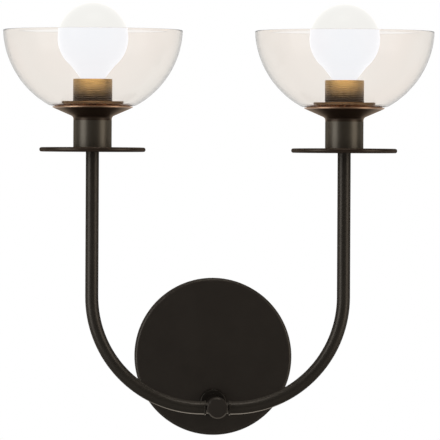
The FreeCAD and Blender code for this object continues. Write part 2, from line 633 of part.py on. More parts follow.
def drip_disc(name):
    """Flat round drip disc with a rounded edge."""
    body = tube(name, "XZ_Plane", "V_Axis", "(Dim.nipple_dia / 2 + Dim.screw_play)", "Dim.disc_dia / 2",
                "0", "Dim.disc_thick")
    dress(body, "Fillet", "((Dim.disc_thick - Dim.disc_edge_flat) / 2)",
          lambda edge: is_circle(edge, value("Dim.disc_dia / 2")), name + "_rounded")
    return body


def cup(name):
    """Straight cup between the disc and the dish, with a floor for the nipple."""
    body = new_body(name)
    half = new_sketch(body, "XZ_Plane", name + "_outline")
    hole = "(Dim.nipple_dia / 2 + Dim.screw_play)"
    wall = "(Dim.cup_dia / 2 - Dim.cup_wall)"
    floor = "(%s + Dim.cup_wall)" % CUP_BASE
    outline(half, [
        (hole, CUP_BASE), ("Dim.cup_dia / 2", CUP_BASE), ("Dim.cup_dia / 2", DISH_BASE),
        (wall, DISH_BASE), (wall, floor), (hole, floor)])
    revolve(body, half, "V_Axis", name + "_turned")
    return body


def dish(name):
    """Seat dish: a shallow cone from the cup's width to a thin rim, hollowed on top."""
    body = new_body(name)
    half = new_sketch(body, "XZ_Plane", name + "_outline")
    bore = "(Dim.foot_dia / 2 + Dim.foot_play)"
    rim = "Dim.dish_dia / 2"
    neck = "Dim.cup_dia / 2"
    neck_top = "(%s + Dim.dish_neck + Dim.dish_root)" % DISH_BASE
    lip = "(%s - Dim.dish_lip)" % DISH_TOP
    rise = "(Dim.dish_tall - Dim.dish_lip - Dim.dish_neck - Dim.dish_root)"
    slope = "(%s / (Dim.dish_dia / 2 - Dim.cup_dia / 2))" % rise
    land_in = "(Dim.dish_dia / 2 - Dim.dish_land)"
    trough_out = "(%s - Dim.dish_land * %s + Dim.dish_wall)" % (lip, slope)
    hub_out = "(Dim.cup_dia / 2 + Dim.dish_wall)"
    trough_in = "(%s + Dim.dish_wall * (1 + %s))" % (neck_top, slope)
    outline(half, [
        (bore, DISH_BASE), (neck, DISH_BASE), (neck, neck_top), (rim, lip), (rim, DISH_TOP),
        (land_in, DISH_TOP), (land_in, trough_out), (hub_out, trough_in), (hub_out, DISH_TOP),
        (bore, DISH_TOP)])
    revolve(body, half, "V_Axis", name + "_spun")
    root = value(neck_top)
    dress(body, "Fillet", "Dim.dish_root",
          lambda edge: is_circle(edge, value(neck)) and abs(local_centre(body, edge).z - root) < NEAR,
          name + "_root")
    return body


def gasket(name):
    """Soft ring between the dish and the glass."""
    hole = "(Dim.sleeve_dia / 2 + Dim.bowl_hole_play)"
    return tube(name, "XZ_Plane", "V_Axis", hole, "Dim.gasket_dia / 2", DISH_TOP, BOWL_BASE)


def glass_bowl(name):
    """Glass bowl: a hemisphere of even wall, flat at the bottom round a hole for the sleeve.

    The flat reaches just past the dish that it stands on, so the depth of the bowl follows from
    its radius and the dish.
    """
    body = new_body(name)
    half = new_sketch(body, "XZ_Plane", name + "_outline")
    hole = "(Dim.sleeve_dia / 2 + Dim.bowl_hole_play)"
    flat = "(Dim.dish_dia / 2 + Dim.bowl_over)"
    inner = "(Dim.bowl_radius - Dim.bowl_wall)"
    # the corner's centre lies this far out from the sphere's, and this far below it
    out = "(Dim.bowl_radius - Dim.bowl_corner)"
    fall = "sqrt(%s ^ 2 - %s ^ 2)" % (out, flat)
    corner = "(%s + Dim.bowl_corner)" % BOWL_BASE
    centre = "(%s + %s)" % (corner, fall)
    rim = "(%s - Dim.bowl_rim_drop)" % centre
    join = "(%s * Dim.bowl_radius / %s)" % (flat, out)
    join_up = "(%s - %s * Dim.bowl_radius / %s)" % (centre, fall, out)
    join_in = "(%s * %s / %s)" % (flat, inner, out)
    join_in_up = "(%s - %s * %s / %s)" % (centre, fall, inner, out)
    floor = "(%s + Dim.bowl_wall)" % BOWL_BASE
    rim_out = "sqrt(Dim.bowl_radius ^ 2 - Dim.bowl_rim_drop ^ 2)"
    rim_in = "sqrt(%s ^ 2 - Dim.bowl_rim_drop ^ 2)" % inner
    outline(half, [
        (hole, BOWL_BASE), (flat, BOWL_BASE), (join, join_up, "y"), (rim_out, rim, "y"),
        (rim_in, rim), (join_in, join_in_up, "y"), (flat, floor, "x"), (hole, floor)],
        {1: (flat, corner, "left"), 2: ("0", centre, "left"),
         4: ("0", centre, "right"), 5: (flat, corner, "right")})
    revolve(body, half, "V_Axis", name + "_blown")
    dress(body, "Fillet", "((Dim.bowl_wall - Dim.bowl_rim_flat) / 2)",
          lambda edge: is_circle(edge, value(rim_out)) or is_circle(edge, value(rim_in)),
          name + "_rim_rounded")
    return body


def shade_ring(name):
    """Ring that screws down the sleeve and holds the glass."""
    low = "(%s + Dim.bowl_wall + Dim.shade_ring_gap)" % BOWL_BASE
    high = "(%s + Dim.shade_ring_thick)" % low
    body = tube(name, "XZ_Plane", "V_Axis", "(Dim.sleeve_dia / 2 + Dim.thread_play)",
                "Dim.shade_ring_dia / 2", low, high)
    top = value(high)
    dress(body, "Fillet", "Dim.shade_ring_round",
          lambda edge: is_circle(edge, value("Dim.shade_ring_dia / 2"))
          and abs(local_centre(body, edge).z - top) < NEAR, name + "_rounded")
    return body


def sleeve(name):
    """Threaded sleeve: a wide upper tube standing on the dish, and a narrow foot with a floor."""
    body = new_body(name)
    half = new_sketch(body, "XZ_Plane", name + "_outline")
    hole = THREAD_DIA + " / 2"
    foot_in = "(Dim.foot_dia / 2 - Dim.foot_wall)"
    top = "(%s + Dim.sleeve_tall)" % DISH_TOP
    outer_in = "(Dim.sleeve_dia / 2 - Dim.sleeve_wall)"
    shoulder = "(%s + Dim.foot_wall)" % DISH_TOP
    outline(half, [
        (hole, FOOT_BASE), ("Dim.foot_dia / 2", FOOT_BASE), ("Dim.foot_dia / 2", DISH_TOP),
        ("Dim.sleeve_dia / 2", DISH_TOP), ("Dim.sleeve_dia / 2", top), (outer_in, top),
        (outer_in, shoulder), (foot_in, shoulder), (foot_in, STRIP_BASE), (hole, STRIP_BASE)])
    revolve(body, half, "V_Axis", name + "_turned")
    return body


def holder_nipple(name):
    """Threaded nipple that clamps disc, cup, sleeve and strip to the arm."""
    top = "(%s + Dim.strip_thick + Dim.nut_thick + Dim.thread_spare)" % STRIP_BASE
    return tube(name, "XZ_Plane", "V_Axis", "Dim.nipple_bore / 2", "Dim.nipple_dia / 2",
                "-Dim.nipple_grip", top)


def holder_strip(name):
    """Bent strip that stands on the sleeve's floor and carries the lampholder."""
    body = new_body(name)
    side = new_sketch(body, "XZ_Plane", name + "_section")
    back = "-Dim.strip_back"
    outer = "(Dim.strip_reach + Dim.strip_thick)"
    top = "(%s + Dim.strip_tall)" % STRIP_BASE
    upper = "(%s + Dim.strip_thick)" % STRIP_BASE
    outline(side, [
        (back, STRIP_BASE), (outer, STRIP_BASE), (outer, top), ("Dim.strip_reach", top),
        ("Dim.strip_reach", upper), (back, upper)])
    pad(body, side, "Dim.strip_wide", name + "_bent", symmetric=True)

    def at_corner(edge, across, level):
        middle = edge.CenterOfMass
        wide = abs(edge.BoundBox.YLength - value("Dim.strip_wide")) < NEAR
        return wide and abs(middle.x - across) < NEAR and abs(middle.z - level) < NEAR

    dress(body, "Fillet", "Dim.strip_bend",
          lambda edge: at_corner(edge, value("Dim.strip_reach"), value(upper)), name + "_bend_inside")
    dress(body, "Fillet", "Dim.strip_bend + Dim.strip_thick",
          lambda edge: at_corner(edge, value(outer), value(STRIP_BASE)), name + "_bend_outside")
    hole = new_sketch(body, "XY_Plane", name + "_hole")
    circle_in(hole, "0", "0", THREAD_DIA + " / 2")
    cut(body, hole, name + "_hole_cut")
    return body


def lampholder(name):
    """Insulating body of the lampholder, with a well for the screw shell and a flat for the strip."""
    body = new_body(name)
    half = new_sketch(body, "XZ_Plane", name + "_outline")
    step = "(%s + Dim.holder_base_tall)" % HOLDER_BASE
    bevel = "(%s - Dim.holder_bevel)" % HOLDER_TOP
    outline(half, [
        ("0", HOLDER_BASE), ("Dim.holder_base_dia / 2", HOLDER_BASE), ("Dim.holder_base_dia / 2", step),
        ("Dim.holder_dia / 2", step), ("Dim.holder_dia / 2", bevel),
        ("(Dim.holder_dia / 2 - Dim.holder_bevel)", HOLDER_TOP),
        ("Dim.shell_dia / 2", HOLDER_TOP), ("Dim.shell_dia / 2", WELL_FLOOR), ("0", WELL_FLOOR)])
    revolve(body, half, "V_Axis", name + "_moulded")
    flat = new_sketch(body, "XZ_Plane", name + "_flat")
    beyond = "Dim.holder_base_dia"
    seat_top = "(%s + Dim.strip_tall)" % STRIP_BASE
    past = "(%s - Dim.overcut)" % HOLDER_BASE
    outline(flat, [
        ("Dim.strip_reach", past), (beyond, past), (beyond, seat_top), ("Dim.strip_reach", seat_top)])
    cut(body, flat, name + "_flat_cut")
    return body


def screw_shell(name):
    """Thin metal shell in the lampholder that takes the lamp's cap."""
    high = "(%s - Dim.shell_sunk)" % HOLDER_TOP
    low = "(%s - Dim.shell_deep)" % high
    return tube(name, "XZ_Plane", "V_Axis", "(Dim.shell_dia / 2 - Dim.shell_wall)", "Dim.shell_dia / 2",
                low, high)


def spring_tongue(name):
    """Contact in the bottom of the well: a strip that rises to the lamp's contact."""
    body = new_body(name)
    side = new_sketch(body, "XZ_Plane", name + "_section")
    knee = "-Dim.tongue_slope"
    start = "(-Dim.tongue_slope - Dim.tongue_foot)"
    knee_top = "(-Dim.tongue_slope - Dim.tongue_thick / 2)"
    tip_top = "(-Dim.tongue_thick / 2)"
    above = "(%s + Dim.tongue_thick)" % WELL_FLOOR
    under_tip = "(%s - Dim.tongue_thick)" % TONGUE_TOP
    outline(side, [
        (start, WELL_FLOOR), (knee, WELL_FLOOR), ("0", under_tip), ("Dim.tongue_tip", under_tip),
        ("Dim.tongue_tip", TONGUE_TOP), (tip_top, TONGUE_TOP), (knee_top, above), (start, above)])
    pad(body, side, "Dim.tongue_wide", name + "_bent", symmetric=True)
    return body


# --------------------------------------------------------------------- lamp

def lamp_globe(name):
    """Glass of the lamp: a hollow globe on a neck that tapers to the throat in the cap."""
    body = new_body(name)
    half = new_sketch(body, "XZ_Plane", name + "_outline")
    middle = "Dim.globe_level"
    inner = "(Dim.globe_radius - Dim.globe_wall)"
    collar_top = "(%s + Dim.lamp_cap_tall)" % LAMP_CAP_BASE
    cap_floor = "(%s - 2 * Dim.lamp_cap_wall)" % collar_top
    foot = "(%s + Dim.throat_long)" % collar_top
    throat = "(Dim.throat_dia / 2)"
    bore = "(Dim.throat_dia / 2 - Dim.globe_wall)"
    neck = "(Dim.neck_dia / 2)"
    neck_in = "(Dim.neck_dia / 2 - Dim.globe_wall)"
    meet = "(%s - sqrt(Dim.globe_radius ^ 2 - %s ^ 2))" % (middle, neck)
    meet_in = "(%s - sqrt(%s ^ 2 - %s ^ 2))" % (middle, inner, neck_in)
    outline(half, [
        (bore, cap_floor), (throat, cap_floor), (throat, foot), (neck, meet),
        ("0", "(%s + Dim.globe_radius)" % middle, "x"), ("0", "(%s + %s)" % (middle, inner)),
        (neck_in, meet_in, "y"), (bore, foot)],
        {3: ("0", middle, "left"), 5: ("0", middle, "right")})
    revolve(body, half, "V_Axis", name + "_blown")
    for radius, hollow in ((neck, "Dim.neck_hollow"), (neck_in, "(Dim.neck_hollow + Dim.globe_wall)")):
        dress(body, "Fillet", hollow, lambda edge: is_circle(edge, value(radius)), name + "_neck_rounded")
    return body


def lamp_cap(name):
    """Metal cap of the lamp, open at both ends, turned in at the foot."""
    body = new_body(name)
    half = new_sketch(body, "XZ_Plane", name + "_outline")
    top = "(%s + Dim.lamp_cap_tall)" % LAMP_CAP_BASE
    inner = "(%s - Dim.lamp_cap_wall)" % LAMP_CAP_RADIUS
    floor = "(%s + Dim.lamp_cap_wall)" % LAMP_CAP_BASE
    outline(half, [
        (LAMP_CAP_MOUTH, LAMP_CAP_BASE), (LAMP_CAP_RADIUS, LAMP_CAP_BASE), (LAMP_CAP_RADIUS, top),
        (inner, top), (inner, floor), (LAMP_CAP_MOUTH, floor)])
    revolve(body, half, "V_Axis", name + "_drawn")
    return body


def lamp_bead(name):
    """Glass bead that keeps the lamp's contact apart from its cap."""
    body = new_body(name)
    half = new_sketch(body, "XZ_Plane", name + "_outline")
    top = "(%s + Dim.lamp_cap_wall)" % LAMP_CAP_BASE
    outline(half, [
        ("0", BEAD_BASE), ("Dim.button_dia / 2", BEAD_BASE), (LAMP_CAP_MOUTH, LAMP_CAP_BASE),
        (LAMP_CAP_MOUTH, top), ("0", top)])
    revolve(body, half, "V_Axis", name + "_fused")
    return body


def lamp_button(name):
    """Contact on the end of the lamp."""
    body = new_body(name)
    half = new_sketch(body, "XZ_Plane", name + "_outline")
    outline(half, [
        ("0", BUTTON_BASE), ("Dim.button_flat_dia / 2", BUTTON_BASE), ("Dim.button_dia / 2", BEAD_BASE),
        ("0", BEAD_BASE)])
    revolve(body, half, "V_Axis", name + "_soldered")
    return body


STACK = [
    ("drip_disc", drip_disc), ("cup", cup), ("seat_dish", dish), ("gasket", gasket),
    ("glass_bowl", glass_bowl), ("shade_ring", shade_ring), ("socket_sleeve", sleeve),
    ("holder_nipple", holder_nipple), ("holder_strip", holder_strip), ("lampholder", lampholder),
    ("screw_shell", screw_shell), ("spring_tongue", spring_tongue), ("lamp_globe", lamp_globe),
    ("lamp_cap", lamp_cap), ("lamp_bead", lamp_bead), ("lamp_button", lamp_button),
]


def side(word, sign, turn):
    """One arm with its small collar and everything that stands on it."""
    arm_collar("arm_collar_" + word, turn)
    arm("arm_" + word, turn)
    stack = [make("%s_%s" % (name, word)) for name, make in STACK]
    stack.append(nipple_nut("holder_nut_" + word, "XY_Plane", "(%s + Dim.strip_thick)" % STRIP_BASE))
    for piece in stack:
        place(piece, sign + "Dim.arm_spacing / 2", "-Dim.reach", "Dim.disc_level")


def check_and_write():
    """Stop if anything failed to build, then write one file for each piece."""
    DOC.recompute()
    for item in DOC.Objects:
        if "Invalid" in item.State or "Error" in item.State:
            raise ValueError("%s did not build: %s" % (item.Label, item.State))
    for body in PARTS:
        if body.Shape.isNull() or not body.Shape.isValid() or len(body.Shape.Solids) != 1:
            raise ValueError(body.Label + " is not one sound solid")
    os.makedirs("parts", exist_ok=True)
    for body in PARTS:
        body.Shape.exportStep("parts/%s.step" % body.Label)
        print("%-22s %10.1f mm3" % (body.Label, body.Shape.Volume))


fill_sheet()
wall_bracket()
ground_screw()
canopy()
canopy_screw("canopy_screw_left", 180)
canopy_screw("canopy_screw_right", 0)
stem_line()
side("left", "-", 180)
side("right", "", 0)
check_and_write()
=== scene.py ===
import math

import bmesh
import bpy
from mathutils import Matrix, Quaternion, Vector


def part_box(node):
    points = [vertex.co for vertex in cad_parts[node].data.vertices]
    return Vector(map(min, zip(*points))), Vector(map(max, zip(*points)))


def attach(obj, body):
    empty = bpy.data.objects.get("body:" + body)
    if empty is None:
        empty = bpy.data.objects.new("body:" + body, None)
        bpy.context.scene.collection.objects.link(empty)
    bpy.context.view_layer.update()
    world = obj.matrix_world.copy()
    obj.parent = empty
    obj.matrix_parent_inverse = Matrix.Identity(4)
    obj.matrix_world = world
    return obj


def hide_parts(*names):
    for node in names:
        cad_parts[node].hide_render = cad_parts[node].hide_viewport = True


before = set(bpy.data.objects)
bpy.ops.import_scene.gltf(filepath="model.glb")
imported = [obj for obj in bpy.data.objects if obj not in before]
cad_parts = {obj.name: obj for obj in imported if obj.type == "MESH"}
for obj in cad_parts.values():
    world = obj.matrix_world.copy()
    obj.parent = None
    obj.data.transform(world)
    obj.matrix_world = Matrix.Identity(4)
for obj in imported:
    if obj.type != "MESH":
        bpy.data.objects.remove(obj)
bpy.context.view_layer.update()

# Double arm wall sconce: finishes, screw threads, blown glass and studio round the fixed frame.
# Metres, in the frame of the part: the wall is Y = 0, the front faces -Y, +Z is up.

MM = 0.001
TURN = 2 * math.pi
SIDES = ("left", "right")


# -------------------------------------------------------------- real sizes

# Sleeve: threaded outside, over a plain foot with a floor. A lead is the short cone at a thread's end.
SLEEVE_PITCH = 1.9 * MM
SLEEVE_THREAD = 0.35 * MM
SLEEVE_LEAD_LOW = 0.4 * MM
SLEEVE_LEAD_TOP = 0.6 * MM
SLEEVE_WALL = 1.5 * MM
SLEEVE_FOOT = 28.0 * MM
SLEEVE_FOOT_WALL = 1.2 * MM
SLEEVE_FLOOR = 1.5 * MM

# Running-thread nipples, bored for the wires.
NIPPLE_PITCH = 1.0 * MM
NIPPLE_THREAD = 0.35 * MM
NIPPLE_LEAD = 0.3 * MM
NIPPLE_BORE = 6.4 * MM

# Rolled thread of the lamp caps, and of the shells that they screw into. The plain length is below
# the thread, and the lip above it.
CAP_PITCH = 2.54 * MM
CAP_THREAD = 0.45 * MM
CAP_PLAIN = 1.6 * MM
CAP_WALL = 0.3 * MM
CAP_LIP = 2.0 * MM
SHELL_WALL = 0.4 * MM
SHELL_LIP = 0.8 * MM

# Glass bowls: part of a ball over a flat foot, joined by a rounded corner. The flat reaches a little
# past the dish, and its hole clears the sleeve by the play.
GLASS_WALL = 1.8 * MM
BOWL_RADIUS = 75.0 * MM
BOWL_CORNER = 6.0 * MM
BOWL_OVER_DISH = 0.6 * MM
BOWL_HOLE_PLAY = 0.8 * MM

# Flanks of a cut thread, in shares of its depth: how steep they are, and where they leave the root.
FLANK_SLOPE = 1.3
FLANK_START = 0.15

# Fineness of the meshes: steps round a piece, rings to a turn of thread, steps along the glass.
SLEEVE_ROUND = 144
SLEEVE_RINGS = 8
NIPPLE_ROUND = 48
NIPPLE_RINGS = 6
CAP_ROUND = 72
CAP_RINGS = 10
BOWL_ROUND = 192
CORNER_STEPS = 8
BALL_STEPS = 48
EDGE_STEPS = 8

# Angles in degrees above which an edge stays sharp.
THREAD_CREASE = 32
ROLLED_CREASE = 40
GLASS_CREASE = 50


# ------------------------------------------------------------ mesh helpers

def new_object(name, data):
    """An object in the scene with this mesh, lamp or lens."""
    made = bpy.data.objects.new(name, data)
    bpy.context.scene.collection.objects.link(made)
    return made


def finish_piece(name, mesh, material, body, replaced, crease):
    """Make the mesh a piece of the sconce: finish, body, and the node that it stands for, which it hides."""
    mesh.materials.append(material)
    piece = new_object(name, mesh)
    mesh.shade_smooth()
    mesh.set_sharp_from_angle(angle=math.radians(crease))
    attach(piece, body)
    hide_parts(replaced)


def foot_of(low, high):
    """Middle of a box's underside."""
    return Vector(((low.x + high.x) / 2, (low.y + high.y) / 2, low.z))


def cut_thread(share):
    """Height of a cut thread, 0 to 1, over one pitch: flat crest, sloped flanks, flat root."""
    wave = abs(2 * (share % 1.0) - 1)
    return min(1.0, max(0.0, FLANK_SLOPE * wave - FLANK_START))


def rolled_thread(share):
    """Height of a rolled lamp thread, 0 to 1, over one pitch: all round."""
    return 0.5 + 0.5 * math.cos(TURN * share)


def turned(rings, centre, segments, along_y=False, pitch=1.0, thread=cut_thread):
    """Closed mesh of a turned piece.

    A ring is (radius, height), or (radius, height, depth) where a thread of this pitch and shape is
    cut below the radius. The rings go once round the section, and the last one joins the first.
    """
    grid = bmesh.new()
    loops = []
    for ring in rings:
        radius, height = ring[0], ring[1]
        depth = ring[2] if len(ring) == 3 else 0.0
        loop = []
        for step in range(segments):
            angle = TURN * step / segments
            lift = thread(height / pitch - step / segments) if depth else 1.0
            reach = radius - depth * (1.0 - lift)
            spot = Vector((reach * math.cos(angle), reach * math.sin(angle), height))
            if along_y:
                spot = Vector((spot.x, height, spot.y))
            loop.append(grid.verts.new(centre + spot))
        loops.append(loop)
    for here, there in zip(loops, loops[1:] + loops[:1]):
        for step in range(segments):
            after = (step + 1) % segments
            grid.faces.new((here[step], here[after], there[after], there[step]))
    bmesh.ops.recalc_face_normals(grid, faces=grid.faces)
    mesh = bpy.data.meshes.new("turned")
    grid.to_mesh(mesh)
    grid.free()
    return mesh


def levels(low, high, step):
    """Evenly spaced heights from low to high, about a step apart."""
    count = max(1, round((high - low) / step))
    return [low + (high - low) * number / count for number in range(count + 1)]


# -------------------------------------------------------- material helpers

# Sockets of a colour mix, which Blender tells apart by number only.
FIRST_COLOUR = 6
SECOND_COLOUR = 7
MIXED_COLOUR = 2

WHITE = "#FFFFFF"

# Real sizes of the finishes' patterns. Turning marks are finer on the real brass, and are drawn as
# coarse as they need to show.
ENAMEL_CLOUD = 14 * MM
ORANGE_PEEL = 1.3 * MM
ORANGE_PEEL_HEIGHT = 0.04 * MM
# Band below the seat dishes' top where a copper highlight is painted, and its fade.
COPPER_HIGHLIGHT_BAND = 1.6 * MM
COPPER_HIGHLIGHT_FADE = 0.4 * MM
GLASS_WAVE = 48 * MM
GLASS_WAVE_HEIGHT = 0.12 * MM
GLASS_CLOUD = 70 * MM
OPAL_CLOUD = 22 * MM
# Blotches along the lower edge of the painted lamp glow on the sleeves.
GLOW_EDGE_CLOUD = 5 * MM
GLOW_EDGE_UNEVEN = 2 * MM
TURNING_MARK = 0.5 * MM
TURNING_MARK_HEIGHT = 0.01 * MM
TURNING_STREAK = 12.0
FLOOR_GRAIN = 40 * MM

# Glass bends light by about 1.5. This lower value keeps the bowls' edges as pale as they look.
GLASS_IOR = 1.2


def hue(code):
    """Linear colour of an sRGB hex value."""
    parts = [int(code[place:place + 2], 16) / 255 for place in (1, 3, 5)]
    return [part / 12.92 if part <= 0.04045 else ((part + 0.055) / 1.055) ** 2.4 for part in parts] + [1.0]


def per(size):
    """Texture scale at which one feature measures that size."""
    return 1.0 / size


def node(tree, kind, inputs=None, **settings):
    """Add a shader node. Inputs are constants, or the sockets to link from."""
    made = tree.nodes.new("ShaderNode" + kind)
    for name, setting in settings.items():
        setattr(made, name, setting)
    for name, feed in (inputs or {}).items():
        if isinstance(feed, bpy.types.NodeSocket):
            tree.links.new(feed, made.inputs[name])
        else:
            made.inputs[name].default_value = feed
    return made


def new_material(name):
    """An empty node material, and its tree."""
    material = bpy.data.materials.new(name)
    material.use_nodes = True
    material.node_tree.nodes.clear()
    return material, material.node_tree


def output(tree, surface, **more):
    """Close the material with its surface, and a volume where it has one."""
    node(tree, "OutputMaterial", {"Surface": surface.outputs[0], **more})


def reaches_eye(tree, ray):
    """1 on what the eye sees, straight or through the glass, and 0 on what only other rays meet."""
    return node(tree, "Math", {0: ray.outputs["Is Camera Ray"], 1: ray.outputs["Is Transmission Ray"]},
                operation="MAXIMUM")


# --------------------------------------------------------------- materials

def painted_copper_highlight(tree, enamel, bump, highlight_above):
    """The enamel, with a copper highlight painted above that height: a thin dull pink line."""
    place = node(tree, "TexCoord").outputs["Object"]
    height = node(tree, "SeparateXYZ", {"Vector": place}).outputs["Z"]
    highlight_mask = node(tree, "MapRange", {
        "Value": height, "From Min": highlight_above, "From Max": highlight_above + COPPER_HIGHLIGHT_FADE})
    copper = node(tree, "BsdfPrincipled", {
        "Base Color": hue("#B3947A"), "Metallic": 1.0, "Roughness": 0.42, "Normal": bump.outputs[0]})
    return node(tree, "MixShader", {0: highlight_mask.outputs[0], 1: enamel.outputs[0], 2: copper.outputs[0]})


def satin_bronze(name, dark, light, front, edge, gloss="#F4E8D8", under=0.0, under_from=-0.80,
                 highlight_above=None):
    """Bronze enamel, sprayed or dipped and baked on steel.

    It is dark and satin, a little cloudy with bronze pigment, and has a fine orange peel. The share of
    gloss goes from front, where the coat faces the eye, to edge, where it turns away. Where its normal
    points down past under_from, under is added to that share, which paints a highlight on undersides.
    Above a given height a copper highlight is painted on.
    """
    material, tree = new_material(name)
    place = node(tree, "TexCoord").outputs["Object"]
    cloud = node(tree, "TexNoise", {"Vector": place, "Scale": per(ENAMEL_CLOUD), "Detail": 5.0})
    tone = node(tree, "Mix", {
        "Factor": cloud.outputs[0], FIRST_COLOUR: hue(dark), SECOND_COLOUR: hue(light)}, data_type="RGBA")
    rough = node(tree, "MapRange", {"Value": cloud.outputs[0], "To Min": 0.34, "To Max": 0.42})
    peel = node(tree, "TexNoise", {"Vector": place, "Scale": per(ORANGE_PEEL), "Detail": 2.0})
    bump = node(tree, "Bump", {"Height": peel.outputs[0], "Strength": 0.35, "Distance": ORANGE_PEEL_HEIGHT})
    matt = node(tree, "BsdfDiffuse", {"Color": tone.outputs[MIXED_COLOUR], "Normal": bump.outputs[0]})
    sheen = node(tree, "BsdfAnisotropic", {
        "Color": hue(gloss), "Roughness": rough.outputs[0], "Normal": bump.outputs[0]})
    facing = node(tree, "LayerWeight", {"Blend": 0.5, "Normal": bump.outputs[0]})
    share = node(tree, "MapRange", {
        "Value": facing.outputs["Facing"], "From Min": 0.5, "From Max": 1.0, "To Min": front,
        "To Max": edge})
    # Painted highlight: more gloss where the normal points down, for a bright line along undersides.
    way = node(tree, "SeparateXYZ", {"Vector": node(tree, "NewGeometry").outputs["Normal"]})
    painted_underside_gloss = node(tree, "MapRange", {
        "Value": way.outputs["Z"], "From Min": under_from, "From Max": under_from - 0.15, "To Min": 0.0,
        "To Max": under})
    coat = node(tree, "Math", {0: share.outputs[0], 1: painted_underside_gloss.outputs[0]}, operation="ADD")
    skin = node(tree, "MixShader", {0: coat.outputs[0], 1: matt.outputs[0], 2: sheen.outputs[0]})
    # Painted copper highlight above that height.
    if highlight_above:
        skin = painted_copper_highlight(tree, skin, bump, highlight_above)
    output(tree, skin)
    return material


def tinted_glass():
    """Blown glass, tinted champagne.

    Its faces have a faint lustre and long soft waves, and the glass is a little amber right through.
    Light that only passes goes straight through, so the bowl casts a light shadow.
    """
    material, tree = new_material("champagne_blown_glass")
    place = node(tree, "TexCoord").outputs["Object"]
    wave = node(tree, "TexNoise", {"Vector": place, "Scale": per(GLASS_WAVE), "Detail": 1.0})
    bump = node(tree, "Bump", {"Height": wave.outputs[0], "Strength": 0.25, "Distance": GLASS_WAVE_HEIGHT})
    cloud = node(tree, "TexNoise", {"Vector": place, "Scale": per(GLASS_CLOUD), "Detail": 1.0})
    hint = node(tree, "Mix", {
        "Factor": cloud.outputs[0], FIRST_COLOUR: hue("#FBFBFA"), SECOND_COLOUR: hue("#FDFAF8")},
        data_type="RGBA")
    bent = node(tree, "BsdfRefraction", {
        "Color": hint.outputs[MIXED_COLOUR], "Roughness": 0.0, "IOR": GLASS_IOR,
        "Normal": bump.outputs[0]})
    mirror = node(tree, "BsdfAnisotropic", {"Roughness": 0.1, "Normal": bump.outputs[0]})
    fresnel = node(tree, "Fresnel", {"IOR": GLASS_IOR, "Normal": bump.outputs[0]})
    glass = node(tree, "MixShader", {0: fresnel.outputs[0], 1: bent.outputs[0], 2: mirror.outputs[0]})
    clear = node(tree, "BsdfTransparent", {"Color": hue("#F3EBE3")})
    ray = node(tree, "LightPath")
    passing = node(tree, "Math", {0: ray.outputs["Is Shadow Ray"], 1: ray.outputs["Is Diffuse Ray"]},
                   operation="MAXIMUM")
    mixed = node(tree, "MixShader", {0: passing.outputs[0], 1: glass.outputs[0], 2: clear.outputs[0]})
    tint = node(tree, "VolumeAbsorption", {"Color": hue("#DACAAE"), "Density": 22.0})
    output(tree, mixed, Volume=tint.outputs[0])
    return material


def opal_glass():
    """Opal glass of a lit lamp, blown and acid-frosted.

    The eye sees it evenly white, a little cooler through the bowl, and what stands round it gets a
    warm light. The glass itself is dark here, because its own light makes all of its white.
    """
    material, tree = new_material("opal_lamp_glass")
    place = node(tree, "TexCoord").outputs["Object"]
    cloud = node(tree, "TexNoise", {"Vector": place, "Scale": per(OPAL_CLOUD), "Detail": 2.0})
    rough = node(tree, "MapRange", {"Value": cloud.outputs[0], "To Min": 0.4, "To Max": 0.5})
    ray = node(tree, "LightPath")
    seen = reaches_eye(tree, ray)
    through_bowl = ray.outputs["Is Transmission Ray"]
    glow = node(tree, "Mix", {
        "Factor": through_bowl, FIRST_COLOUR: hue("#EBEAE6"), SECOND_COLOUR: hue("#F2F6FD")},
        data_type="RGBA")
    level = node(tree, "MapRange", {"Value": through_bowl, "To Min": 1.01, "To Max": 1.05})
    shown = node(tree, "BsdfPrincipled", {
        "Base Color": hue("#404040"), "Roughness": rough.outputs[0], "IOR": 1.5, "Specular IOR Level": 0.2,
        "Emission Color": glow.outputs[MIXED_COLOUR], "Emission Strength": level.outputs[0]})
    light = node(tree, "Emission", {"Color": hue("#FFC98A"), "Strength": 3.0})
    mixed = node(tree, "MixShader", {0: seen.outputs[0], 1: light.outputs[0], 2: shown.outputs[0]})
    output(tree, mixed)
    return material


